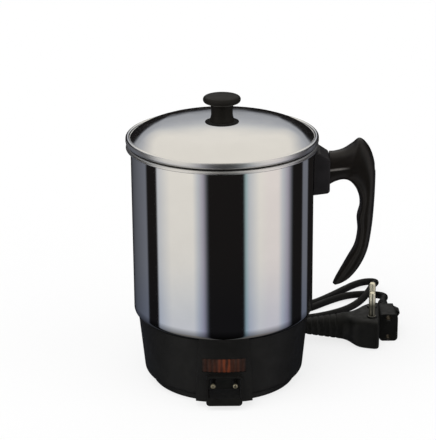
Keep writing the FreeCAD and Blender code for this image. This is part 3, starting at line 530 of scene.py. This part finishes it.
def paint_ledge_highlight(material):
    """Painted highlight: a pale line along the ledge on the grip's arm, rising a little and fading out along
    it.
    """
    tree = material.node_tree
    axes = axes_of(tree, "Object")
    slope = math_node(tree, "MULTIPLY", axes["X"], PAINTED_HIGHLIGHT_SLOPE)
    level = share_between(tree, math_node(tree, "SUBTRACT", axes["Z"], slope), PAINTED_HIGHLIGHT_LOW, PAINTED_HIGHLIGHT_HIGH)
    across = grey_ramp(tree, level, PAINTED_HIGHLIGHT_ACROSS)
    reach = share_between(tree, axes["X"], PAINTED_HIGHLIGHT_START, PAINTED_HIGHLIGHT_END)
    along = grey_ramp(tree, reach, PAINTED_HIGHLIGHT_ALONG)
    recolor(material, mix_colors(tree, 1.0, across, along, "MULTIPLY"), PAINTED_HIGHLIGHT)


dull_rolls_and_shade_seam(MATERIALS["polished_steel"])
dull_rolls_and_shade_seam(LID_STEEL)
shade_wall_towards_base(MATERIALS["polished_steel"])
sleeve_and_shade_pins(SLEEVED_BRASS)
shade_behind_tips(INLET_BRASS)
paint_ledge_highlight(MATERIALS["handle_plastic"])


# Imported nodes

OWN_FINISH = {"connector_contacts": SOCKET_SHADE_BRASS, "inlet_pins": INLET_BRASS, "plug_pins": SLEEVED_BRASS}


def dress_nodes():
    """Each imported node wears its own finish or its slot's material, and the steel leaves it out."""
    for subpart in frame["record"]["subparts"]:
        name = subpart["node"]
        for slot in nodes[name].material_slots:
            slot.material = OWN_FINISH.get(name, MATERIALS[subpart["material_slot"]])
    for item in nodes.values():
        item.visible_glossy = False


dress_nodes()


# Cord and plug

CORD_DIAMETER = 5.5
LYING = 2.9
CORD_ROUTE = [
    (121.3, 100, 10.5), (122.4, 108, 10.4), (125.0, 117, 8.8), (121.0, 128, 6.0), (109.0, 134.4, 4.4),
    (95.0, 133.2, 3.4), (81.5, 124.0, LYING), (67, 109.5, LYING), (52, 101.5, LYING), (36, 99, LYING),
    (20, 102.5, LYING), (3, 108.5, LYING), (-14, 112.6, LYING), (-31.9, 113.5, LYING), (-43, 102.4, LYING),
    (-43, 86.6, LYING), (-31.9, 75.5, LYING), (-14, 75.6, LYING), (4, 77.3, LYING), (22, 80.2, LYING),
    (40, 84, LYING), (57, 88, LYING), (73, 93.0, LYING), (87, 100.5, 3.0), (97.5, 108.5, 3.6),
    (105.8, 115.3, 6.0), (111.8, 122.3, 9.8), (115.8, 130.5, 12.2), (118.6, 139.3, 11.2),
    (120.4, 148.2, 8.4), (119.0, 156.8, 5.8), (113.2, 161.4, 4.0), (105.5, 158.6, 3.2), (96.3, 149.0, LYING),
    (83.8, 133.8, LYING), (69, 118.2, LYING), (53, 111.8, LYING), (36, 110.0, LYING), (19, 113.2, LYING),
    (2, 118.2, LYING), (-15, 121.6, LYING), (-35.6, 122.5, LYING), (-52, 106.1, LYING), (-52, 82.9, LYING),
    (-35.6, 66.5, LYING), (-18, 67.2, LYING), (-1, 67.2, 3.1), (14, 64.8, 4.4), (26.5, 60, 7.6),
    (37, 55.5, 11), (48, 55.5, 11),
]

# Each section of the plug: x, y, turn in degrees, half width, half height, squareness
PLUG_SECTIONS = [
    (48, 55.5, 0.0, 4.2, 4.2, 2.0), (68, 55.5, 0.0, 6.97, 6.97, 2.0), (84, 55.5, 0.0, 9.2, 9.2, 2.0),
    (88, 55.6, 0.4, 9.9, 9.8, 2.1), (91.5, 54.2, 1.2, 11.0, 10.0, 2.5), (95, 52.4, 2.6, 12.9, 10.2, 3.6),
    (98.5, 52.0, 4.0, 14.5, 10.7, 5.5), (103, 53.6, 4.8, 17.4, 11.0, 8.0),
    (108, 55.0, 5.0, 20.3, 11.0, 9.0), (111.8, 55.0, 5.0, 21.2, 11.0, 9.0),
    (113.6, 54.9, 5.0, 21.0, 10.7, 9.0), (114.4, 54.9, 5.0, 20.4, 10.1, 8.0),
    (114.66, 54.9, 5.0, 19.4, 9.4, 7.0),
]
PLUG_AXIS_HEIGHT = 11.0
PLUG_POINTS = 96
PLUG_NECK_SECTIONS = 2
PLUG_NECK_STEPS = 70
PLUG_STEPS = 10
PLUG_RIBS = 8
PLUG_RIB_PITCH = 39.0 / 9
PLUG_GROOVE = 0.45
PLUG_GROOVE_SHARPNESS = 3
PLUG_PINS = [(108.372, 46.036), (110.028, 64.964)]
PIN_COLLAR = [(2.83, 21.5), (3.8, 21.5), (3.8, 22.5), (3.5, 22.8, 0.3), (2.83, 22.8)]
PIN_COLLAR_SEGMENTS = 64


def plug_ring(bm, place):
    """Ring of the plug's skin at a place along its sections, with shallow grooves round its neck."""
    x, y, turn, half_width, half_height, squareness = [
        smooth_through(values, place) for values in zip(*PLUG_SECTIONS)
    ]
    along = (x - PLUG_SECTIONS[0][0]) / PLUG_RIB_PITCH
    if 0.5 < along < PLUG_RIBS + 0.5:
        depth = PLUG_GROOVE * max(0.0, math.cos(math.tau * along)) ** PLUG_GROOVE_SHARPNESS
        half_width -= depth
        half_height -= depth
    across = Matrix.Rotation(-math.radians(turn), 2) @ Vector((0, 1))
    ring = []
    for index in range(PLUG_POINTS):
        angle = math.tau * index / PLUG_POINTS
        side = half_width * squared(math.cos(angle), squareness)
        up = half_height * squared(math.sin(angle), squareness)
        flat = Vector((x, y)) + across * side
        ring.append(bm.verts.new(Vector((flat.x, flat.y, PLUG_AXIS_HEIGHT + up)) * MM))
    return ring


def build_plug(bm):
    """The plug's skin, stepped finely along its neck, and a collar round the foot of each pin."""
    body_sections = len(PLUG_SECTIONS) - 1 - PLUG_NECK_SECTIONS
    places = [PLUG_NECK_SECTIONS * step / PLUG_NECK_STEPS for step in range(PLUG_NECK_STEPS)]
    places += [PLUG_NECK_SECTIONS + step / PLUG_STEPS for step in range(body_sections * PLUG_STEPS + 1)]
    loft(bm, [plug_ring(bm, place) for place in places])
    for x, y in PLUG_PINS:
        turn_outline(bm, PIN_COLLAR, PIN_COLLAR_SEGMENTS, (x, y, 0))


def make_plug():
    """The plug's moulded body with the strain relief that grows out of it."""
    mesh = mesh_from("plug_moulding", build_plug, ROUNDED_SHARP_EDGE)
    return add_piece("plug_moulding", mesh, "lead", MATERIALS["cord_plastic"],
                     ["plug_body", "plug_strain_relief"])


def make_cord():
    data = bpy.data.curves.new("mains_cord", "CURVE")
    data.dimensions = "3D"
    spline = data.splines.new("NURBS")
    spline.points.add(len(CORD_ROUTE) - 1)
    for point, place in zip(spline.points, CORD_ROUTE):
        point.co = (*(Vector(place) * MM), 1)
    spline.order_u = 3
    spline.use_endpoint_u = True
    spline.resolution_u = 10
    data.bevel_depth = CORD_DIAMETER / 2 * MM
    data.bevel_resolution = 5
    data.use_fill_caps = True
    cord = add_piece("mains_cord", data, "lead", MATERIALS["cord_sheath"],
                     ["cord_connector_lead", "cord_loops", "cord_plug_lead"])
    on_cord = [nodes[name] for name in (
        "plug_pins", "connector_body", "connector_contacts", "connector_strain_relief",
    )]
    on_cord + [make_plug()]


make_cord()


# Cup, lid and knob

CUP_OUTLINE = [
    (0, 49), (58.4, 49), (62, 52.6, 3.6), (62, 166.9), (64.7, 166.9), (65.2, 167.4, 0.5),
    (63.1, 169.6, 3.0), (62.3, 169.6), (61.4, 168.7, 0.9), (61.4, 52.6), (58.4, 49.6, -3.0), (0, 49.6),
]
LID_OUTLINE = [
    (2.3, 183.5), (2.3, 182.9), (11.7, 182.9), (41, 181.7, -600), (61.3, 173.2, -38.7), (61.3, 172.0),
    (63.3, 170.0, 2.0), (65.3, 172.0, 2.0), (65.3, 173.4), (63.7, 175.0, 1.6), (62.38, 174.3, 1.6),
    (41, 182.3, 39.3), (11.7, 183.5, 600),
]
DISC_OUTLINE = [
    (2.3, 183.5), (11.2, 183.5), (11.45, 183.75, 0.25), (11.45, 184.0), (8.7, 184.4), (2.3, 184.4),
]
KNOB_OUTLINE = [
    (2.05, 184.4), (8.4, 184.4), (8.4, 185.1), (7.3, 189.0, -18), (7.9, 196.9, -45), (11.1, 197.2),
    (12.7, 199.0, 2.2), (10.8, 201.6, 2.2), (0, 202.2, 97.5), (0, 193.9), (2.05, 193.9),
]
CUP_SEGMENTS = 256
KNOB_SEGMENTS = 128


def make_turned_pieces():
    cup = lathe("cup_shell", CUP_OUTLINE, CUP_SEGMENTS)
    add_piece("cup_shell", cup, "cup", MATERIALS["polished_steel"], ["cup_body"])
    lid = lathe("lid_dome", LID_OUTLINE, CUP_SEGMENTS)
    add_piece("lid_dome", lid, "lid_set", LID_STEEL, ["lid"])
    disc = lathe("knob_disc", DISC_OUTLINE, KNOB_SEGMENTS)
    add_piece("knob_disc", disc, "lid_set", DISC_SHADE_BLACK, ["knob_shield"], mirrored=False)
    knob = lathe("knob_grip", KNOB_OUTLINE, KNOB_SEGMENTS)
    add_piece("knob_grip", knob, "lid_set", MATERIALS["knob_plastic"], ["lid_knob"],
              mirrored=False)


make_turned_pieces()


# Grip of the handle

GRIP_INNER_EDGE = [
    (72.6, 139.3), (76.2, 141.3), (80.2, 142.6), (83.6, 142.6), (86.5, 141.5), (89.0, 139.2),
    (91.4, 135.5), (93.3, 129.8), (93.6, 123.0), (91.9, 115.5), (92.5, 105.5), (90.6, 94.6),
    (85.9, 85.6), (80.6, 75.8), (77.6, 70.2), (76.1, 67.0),
]
GRIP_OUTER_EDGE = [
    (72.6, 162.2), (76.6, 162.4), (82.4, 164.2), (88.4, 168.2), (92.9, 171.5), (97.4, 168.5),
    (101.3, 161.8), (103.8, 151.5), (104.0, 138.5), (103.4, 122.5), (102.2, 108.0), (99.7, 92.6),
    (94.8, 80.8), (88.3, 72.0), (82.6, 67.7), (78.3, 65.7),
]
GRIP_HALF_THICKNESS = [9.4, 9.3, 9.1, 9.0, 9.0, 9.0, 9.0, 9.0, 9.0, 9.0, 9.0, 9.0, 8.6, 7.2, 5.2, 2.4]
GRIP_STEPS = 8
GRIP_POINTS = 144
GRIP_SQUARENESS = 2.3
SCREW_HEIGHT = 150.5
RECESS_MIDDLE = 96.0
RECESS_LENGTH = 16.0
RECESS_RADIUS = 4.2

# The ledge on the grip's flanks: its depth, levels from -1 to 1 across the grip, and places along its edges
LEDGE_DEPTH = 0.5
LEDGE_LEVEL = 0.15
LEDGE_DROP = 0.09
LEDGE_STEP = 0.06
LEDGE_TOP = 0.75
LEDGE_TOP_FADE = 0.4
LEDGE_END = 3.7
LEDGE_END_FADE = 1.2


def ledge_depth(place, level):
    """How far the grip's flank lies back above a ledge that fades out along the grip."""
    if place >= LEDGE_END:
        return 0.0
    above = level - (LEDGE_LEVEL - LEDGE_DROP * place)
    rise = clamped(above / LEDGE_STEP + 0.5)
    top = clamped((LEDGE_TOP - level) / LEDGE_TOP_FADE)
    fade = min((LEDGE_END - place) / LEDGE_END_FADE, 1.0)
    return LEDGE_DEPTH * rise * rise * (3 - 2 * rise) * top * fade


def build_grip(bm):
    inner = [Vector((x, 0, z)) for x, z in GRIP_INNER_EDGE]
    outer = [Vector((x, 0, z)) for x, z in GRIP_OUTER_EDGE]
    rings = []
    for step in range((len(inner) - 1) * GRIP_STEPS + 1):
        place = step / GRIP_STEPS
        low, high = smooth_through(inner, place), smooth_through(outer, place)
        thickness = smooth_through(GRIP_HALF_THICKNESS, place)
        middle = (low + high) / 2
        across = (high - low) / 2
        ring = []
        for index in range(GRIP_POINTS):
            angle = math.tau * index / GRIP_POINTS
            level = squared(math.cos(angle), GRIP_SQUARENESS)
            flank = squared(math.sin(angle), GRIP_SQUARENESS)
            half = thickness - ledge_depth(place, level)
            ring.append(bm.verts.new((middle + across * level + Vector((0, half * flank, 0))) * MM))
        rings.append(ring)
    loft(bm, rings)


def build_screw_recess(bm):
    """Cutter for the recess of the handle's screw, from its seat out through the grip."""
    place = Matrix.Translation((RECESS_MIDDLE * MM, 0, SCREW_HEIGHT * MM))
    along = Matrix.Rotation(math.pi / 2, 4, "Y")
    bmesh.ops.create_cone(bm, cap_ends=True, segments=48, radius1=RECESS_RADIUS * MM,
                          radius2=RECESS_RADIUS * MM, depth=RECESS_LENGTH * MM, matrix=place @ along)


def without(name, base, cutter):
    """Mesh of base with cutter taken away."""
    items = [bpy.data.objects.new(f"{name}_{index}", mesh) for index, mesh in enumerate((base, cutter))]
    for item in items:
        scene.collection.objects.link(item)
    taking = items[0].modifiers.new("recess", "BOOLEAN")
    taking.operation = "DIFFERENCE"
    taking.solver = "EXACT"
    taking.object = items[1]
    graph = bpy.context.evaluated_depsgraph_get()
    result = bpy.data.meshes.new_from_object(items[0].evaluated_get(graph), depsgraph=graph)
    for item in items:
        bpy.data.objects.remove(item)
    result.name = name
    return result


def make_grip():
    form = mesh_from("grip_form", build_grip)
    grip = without("handle_grip", form, mesh_from("grip_recess", build_screw_recess))
    grip.shade_smooth()
    grip.set_sharp_from_angle(angle=CUT_SHARP_EDGE)
    return grip


# Mount of the handle

CUP_CLEARANCE = 62.1
MOUNT_HALF = 12.0
MOUNT_FACE_HALF = 11.2
MOUNT_BACK = 56.0
MOUNT_FACE = 72.6
MOUNT_TOP = 163.9
MOUNT_LOW_BACK = 133.9
MOUNT_LOW_RISE = 1.6
MOUNT_LOW_LENGTH = 14.4
MOUNT_FRONT = [(70.4, 135.5), (MOUNT_FACE, 137.8, 2.4), (MOUNT_FACE, 158.7), (71.0, 160.6, 2.8)]
MOUNT_TOP_EDGE = 66.0
MOUNT_ROUNDING = 0.9
MOUNT_ROUNDING_STEPS = 5
MOUNT_FLAT_SHARES = (0.2, 0.5, 0.8)


def mount_outline(back):
    """Side outline of the mount in (x, z), anticlockwise: top, back, underside and front."""
    low = MOUNT_LOW_BACK + MOUNT_LOW_RISE * (back - MOUNT_BACK) / MOUNT_LOW_LENGTH
    return dense_outline([(back, MOUNT_TOP), (back, low), *MOUNT_FRONT, (MOUNT_TOP_EDGE, MOUNT_TOP)])


def inset(points, amount):
    """Outline moved inwards by an amount, its points kept in step."""
    moved = []
    for before, point, after in zip(points[-1:] + points[:-1], points, points[1:] + points[:1]):
        first = (point - before).normalized()
        second = (after - point).normalized()
        inward = Vector((-first.y - second.y, first.x + second.x))
        moved.append(point + inward * (amount / (1 + first.dot(second))))
    return moved


def mount_half(x):
    """Half the mount's width, which narrows from its back to its face."""
    return MOUNT_HALF + (MOUNT_FACE_HALF - MOUNT_HALF) * (x - MOUNT_BACK) / (MOUNT_FACE - MOUNT_BACK)


def build_mount(bm):
    """Block that follows the cup's wall at its back, lofted from side to side with rounded side edges."""
    stations = []
    for step in range(MOUNT_ROUNDING_STEPS + 1):
        angle = math.pi / 2 * step / MOUNT_ROUNDING_STEPS
        stations.append((MOUNT_ROUNDING * (1 - math.cos(angle)), MOUNT_ROUNDING * (1 - math.sin(angle))))
    stations += [(MOUNT_HALF * share, 0.0) for share in MOUNT_FLAT_SHARES]
    whole = [(-1, *station) for station in stations] + [(1, *station) for station in reversed(stations)]
    rings = []
    for side, depth, shrink in whole:
        share = 1 - depth / MOUNT_FACE_HALF
        back = math.sqrt(CUP_CLEARANCE ** 2 - (share * MOUNT_HALF) ** 2)
        ring = []
        for x, z in inset(mount_outline(back), shrink):
            ring.append(bm.verts.new(Vector((x, side * share * mount_half(x), z)) * MM))
        rings.append(ring)
    loft(bm, rings)


def make_handle():
    add_piece("handle_grip", make_grip(), "cup", MATERIALS["handle_plastic"], ["handle"],
              mirrored=False)
    mount = mesh_from("mount_block", build_mount, ROUNDED_SHARP_EDGE)
    add_piece("mount_block", mount, "cup", MATERIALS["mount_plastic"], ["handle_mount"],
              mirrored=False)


make_handle()


# Pilot lamp

LENS_BACK = 58.6
LENS_FRONT = 61.7
LENS_LOW = 26.75
LENS_HIGH = 36.25
LENS_RIB_RISE = 0.55
LENS_RIB_STEPS = 8

# Heights on the lens's front, and how far it lies back there
LENS_FRONT_STEPS = [
    (LENS_LOW, 0.7), (LENS_LOW + 0.25, 0.25), (LENS_LOW + 0.8, 0.0), (31.5, 0.0),
    (LENS_HIGH - 0.8, 0.0), (LENS_HIGH - 0.25, 0.25), (LENS_HIGH, 0.7),
]


def round_cup(x, z, radius):
    """Point at a radius from the cup's axis, on its front."""
    return Vector((x, -math.sqrt(radius ** 2 - x * x), z)) * MM


def build_lens(bm):
    """Curved bar of upright half-round ribs, with softened upper and lower edges."""
    columns = LENS_RIBS * LENS_RIB_STEPS
    rings = []
    for column in range(columns + 1):
        x = LENS_HALF * (2 * column / columns - 1)
        along = math.pi * LENS_RIBS * (column / columns)
        front = LENS_FRONT - LENS_RIB_RISE * (1 - abs(math.sin(along)))
        ring = [bm.verts.new(round_cup(x, z, LENS_BACK)) for z in (LENS_HIGH, LENS_LOW)]
        ring += [bm.verts.new(round_cup(x, z, front - back)) for z, back in LENS_FRONT_STEPS]
        rings.append(ring)
    loft(bm, rings)


def make_lens():
    lens = mesh_from("lamp_lens", build_lens, ROUNDED_SHARP_EDGE)
    add_piece("lamp_lens", lens, "cup", MATERIALS["red_lens"], ["pilot_lens"], mirrored=False)


make_lens()


# Studio

FLOOR_RADIUS = 4.0
FLOOR_COLOR = (0.98, 0.98, 0.98)
FLOOR_SHADOW = 0.22
LAMP_SPREAD = math.radians(60)
ROOM_LIGHT = (0.45, 0.45, 0.45)
CREAM = (0.875, 0.845, 0.795)
WARM = (0.86, 0.80, 0.78)
COOL = (0.58, 0.60, 0.64)
VIOLET = (0.38, 0.36, 0.43)
CYAN = (0.34, 0.47, 0.49)
BLUE_GREY = (0.17, 0.18, 0.215)
DUSK = (0.085, 0.09, 0.105)
DARK = (0.011, 0.010, 0.010)
SLATE = (0.38, 0.395, 0.43)
SKY = (0.46, 0.475, 0.515)
PALE = (0.68, 0.69, 0.69)

# Screens round the cup by heading in degrees, 0 in front and 90 on the handle's side
STUDIO_BANDS = [
    (-180, DARK), (-168, DARK), (-150, DUSK), (-113, BLUE_GREY), (-109.5, DARK), (-92, DARK), (-89.5, COOL),
    (-69, CREAM), (-38, CREAM), (-31, COOL), (-24.5, VIOLET), (-20, DUSK), (-17.5, DARK), (26, DARK),
    (29, CYAN), (33.5, COOL), (47, CREAM), (60, WARM), (74, WARM), (81, COOL), (90, VIOLET), (96.5, DUSK),
    (99.5, DARK), (119, DARK), (122, BLUE_GREY), (134, BLUE_GREY), (138, DARK), (180, DARK),
]

# How the screens dim downwards, and pale upwards in front
FADE_DOWN = [
    (0.3, WHITE), (0.355, (0.92, 0.93, 0.95)), (0.383, (0.7, 0.76, 0.88)), (0.395, (0.7, 0.75, 0.9)),
    (0.6, (0.6, 0.61, 0.63)), (1.0, (0.5, 0.5, 0.5)),
]
PALE_UP = [(0.0, 0), (0.15, 0.05), (0.85, 0.13), (0.96, 0.2), (1.0, 1)]

# The wall behind, by height and towards its sides
WALL_RISE = [
    (0.14, DARK), (0.165, DUSK), (0.187, SLATE), (0.235, SLATE), (0.27, SKY), (0.302, PALE), (0.335, CREAM),
]
WALL_ARCH = 0.4
WALL_SIDES = [(0.22, CREAM), (0.5, SKY)]
WALL_SIDE_SLANT = 1.5
WALL_SIDE_SHIFT = 0.75


def studio_color(tree):
    """What reflections show: bright screens and dark gaps round the cup, and a pale wall behind it."""
    x, y, z = axes_of(tree, "Generated")
    heading = math_node(tree, "ARCTAN2", x, math_node(tree, "MULTIPLY", y, -1.0))
    turn = math_node(tree, "ADD", math_node(tree, "DIVIDE", heading, math.tau), 0.5)
    bands = ramp(tree, turn, [((angle + 180) / 360, color) for angle, color in STUDIO_BANDS])
    fade = ramp(tree, math_node(tree, "MULTIPLY", z, -1.0), FADE_DOWN)
    lower = mix_colors(tree, 1.0, bands, fade, "MULTIPLY")
    aside = math_node(tree, "ABSOLUTE", x)
    level = math_node(tree, "SUBTRACT", z, math_node(tree, "MULTIPLY", aside, WALL_ARCH))
    rise = ramp(tree, level, WALL_RISE)
    slant = math_node(tree, "SUBTRACT", aside, math_node(tree, "MULTIPLY", z, WALL_SIDE_SLANT))
    sides = ramp(tree, math_node(tree, "ADD", slant, WALL_SIDE_SHIFT), WALL_SIDES)
    behind = mix_colors(tree, 1.0, rise, sides, "DARKEN")
    ahead = mix_colors(tree, grey_ramp(tree, z, PALE_UP), bands, CREAM)
    upper = mix_colors(tree, math_node(tree, "GREATER_THAN", y, 0.0), ahead, behind)
    return mix_colors(tree, math_node(tree, "GREATER_THAN", z, 0.0), lower, upper)


def make_world():
    """White to the camera, the studio to reflections, and an even soft light to all else."""
    world = bpy.data.worlds.new("studio")
    world.use_nodes = True
    tree = world.node_tree
    path = tree.nodes.new("ShaderNodeLightPath")
    seen = mix_colors(tree, path.outputs["Is Glossy Ray"], ROOM_LIGHT, studio_color(tree))
    clear = math_node(tree, "MAXIMUM", path.outputs["Is Camera Ray"], path.outputs["Is Transmission Ray"])
    color = mix_colors(tree, clear, seen, WHITE)
    tree.links.new(color, tree.nodes["Background"].inputs["Color"])
    scene.world = world


def make_floor():
    """Pale round floor that is nearly white to the camera and keeps part of the object's shadow."""
    mesh = bpy.data.meshes.new("floor")
    bm = bmesh.new()
    bmesh.ops.create_circle(bm, cap_ends=True, segments=96, radius=FLOOR_RADIUS)
    bm.to_mesh(mesh)
    bm.free()
    floor = bpy.data.objects.new("floor", mesh)
    scene.collection.objects.link(floor)
    material, tree, shader = new_material("floor", FLOOR_COLOR, 0.9, specular=0.0)
    glow = tree.nodes.new("ShaderNodeEmission")
    path = tree.nodes.new("ShaderNodeLightPath")
    mix = tree.nodes.new("ShaderNodeMixShader")
    share = math_node(tree, "MULTIPLY", path.outputs["Is Camera Ray"], 1 - FLOOR_SHADOW)
    tree.links.new(share, mix.inputs["Fac"])
    tree.links.new(shader.outputs["BSDF"], mix.inputs[1])
    tree.links.new(glow.outputs["Emission"], mix.inputs[2])
    tree.links.new(mix.outputs["Shader"], tree.nodes["Material Output"].inputs["Surface"])
    mesh.materials.append(material)
    floor.visible_glossy = False


def make_lamp(name, azimuth, elevation, strength):
    """Broad soft lamp in a direction from the cup, its azimuth turning from the front towards the handle."""
    data = bpy.data.lights.new(name, "SUN")
    data.energy = strength
    data.angle = LAMP_SPREAD
    lamp = bpy.data.objects.new(name, data)
    turn, rise = math.radians(azimuth), math.radians(elevation)
    towards = Vector((math.sin(turn) * math.cos(rise), -math.cos(turn) * math.cos(rise), math.sin(rise)))
    lamp.rotation_mode = "QUATERNION"
    lamp.rotation_quaternion = towards.to_track_quat("Z", "Y")
    lamp.visible_glossy = False
    scene.collection.objects.link(lamp)


make_world()
make_floor()
make_lamp("key_lamp", azimuth=-40, elevation=52, strength=1.7)
make_lamp("fill_lamp", azimuth=50, elevation=42, strength=0.7)
